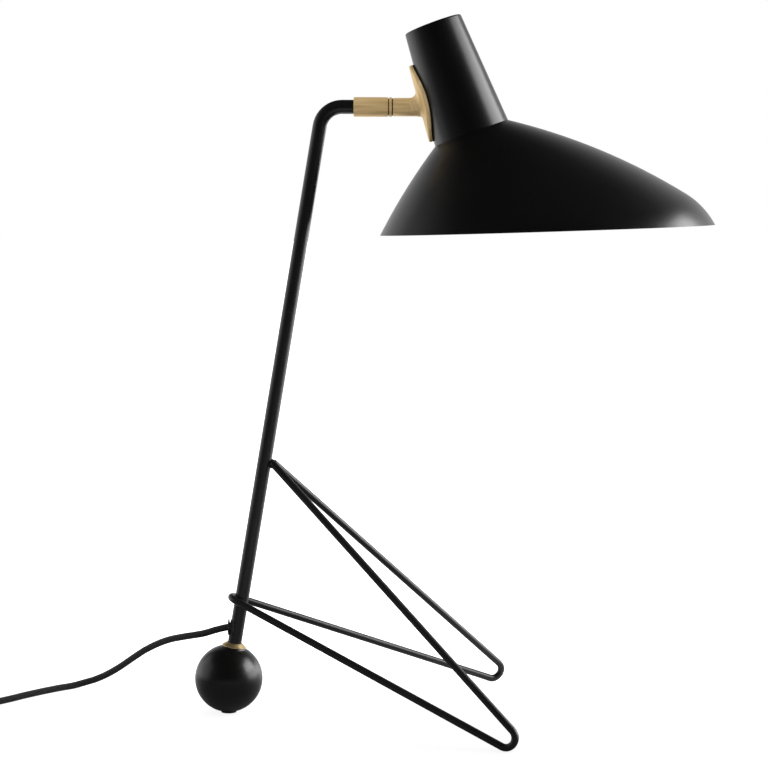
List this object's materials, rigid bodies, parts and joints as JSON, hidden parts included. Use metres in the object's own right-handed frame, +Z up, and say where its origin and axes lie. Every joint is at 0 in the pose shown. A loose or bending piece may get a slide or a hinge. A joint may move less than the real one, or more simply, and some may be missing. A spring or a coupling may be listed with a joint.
{
  "type": "tripod table lamp",
  "caption": "Table lamp with a leaning tube on a ball foot, a bent-rod pair of legs and a swivelling conical head with a dished shade, with cord, in-line switch and plug.",
  "frame": {"origin": "on the table under the middle of the ball foot, at the bottom of its pad", "axes": "+Z up; +X from the ball towards the two feet; +Y towards the far foot, away from the viewer of the picture"},
  "size_m": [0.6162, 0.3109, 0.4996],
  "materials": {
    "ball_lacquer": "satin black lacquer",
    "frame_lacquer": "satin black lacquer",
    "shade_lacquer": "matt black lacquer",
    "brass": "brushed satin",
    "steel": "zinc plated",
    "nickel": "nickel plated",
    "pad_rubber": "matt",
    "gasket_rubber": "matt",
    "gland_plastic": "matt",
    "holder_plastic": "matt",
    "plug_plastic": "matt",
    "rocker_plastic": "gloss",
    "flex_sheath": "smooth sheath",
    "cord_fabric": "woven cover",
    "tie_fabric": "hook and loop strip",
    "opal_glass": "opal"
  },
  "bodies": {
    "base": {"ball": "ball_lacquer", "foot_pad": "pad_rubber", "ball_ferrule": "brass", "ball_stud": "steel", "stem_insert": "steel", "stem": "frame_lacquer", "leg_frame": "frame_lacquer", "cord_gland": "gland_plastic", "gland_washer": "gland_plastic", "cord_stop": "steel", "stem_flex": "flex_sheath", "rear_sleeve": "brass", "swivel_ring": "brass", "swivel_washers": "brass", "spindle": "steel", "cord_lead": "cord_fabric", "switch_lower": "plug_plastic", "switch_upper": "plug_plastic", "switch_screws": "steel", "switch_terminals": "brass", "cord_link": "cord_fabric", "cord_coil": "cord_fabric", "cord_tie": "tie_fabric", "cord_tail": "cord_fabric", "plug_body": "plug_plastic", "plug_pins": "nickel"},
    "head": {"spring_washer": "steel", "saddle": "brass", "saddle_gasket": "gasket_rubber", "saddle_screws": "steel", "neck": "shade_lacquer", "shade": "shade_lacquer", "holder_bracket": "steel", "holder_nipple": "steel", "nipple_nut": "steel", "holder_body": "holder_plastic", "holder_shell": "brass", "holder_contact": "brass", "bulb_glass": "opal_glass", "bulb_cap": "nickel", "bulb_contact": "brass", "head_flex": "flex_sheath"},
    "rocker": {"switch_rocker": "rocker_plastic"}
  },
  "joints": [
    {"name": "head_swivel", "type": "hinge", "parent": "base", "child": "head", "pos_m": [0.1272, 0, 0.4348], "axis": [1, 0, 0], "range_deg": [-90, 90]},
    {"name": "switch_rock", "type": "hinge", "parent": "base", "child": "rocker", "pos_m": [-0.194, -0.093, 0.012], "axis": [1, 0, 0], "range_deg": [0, 12]}
  ]
}
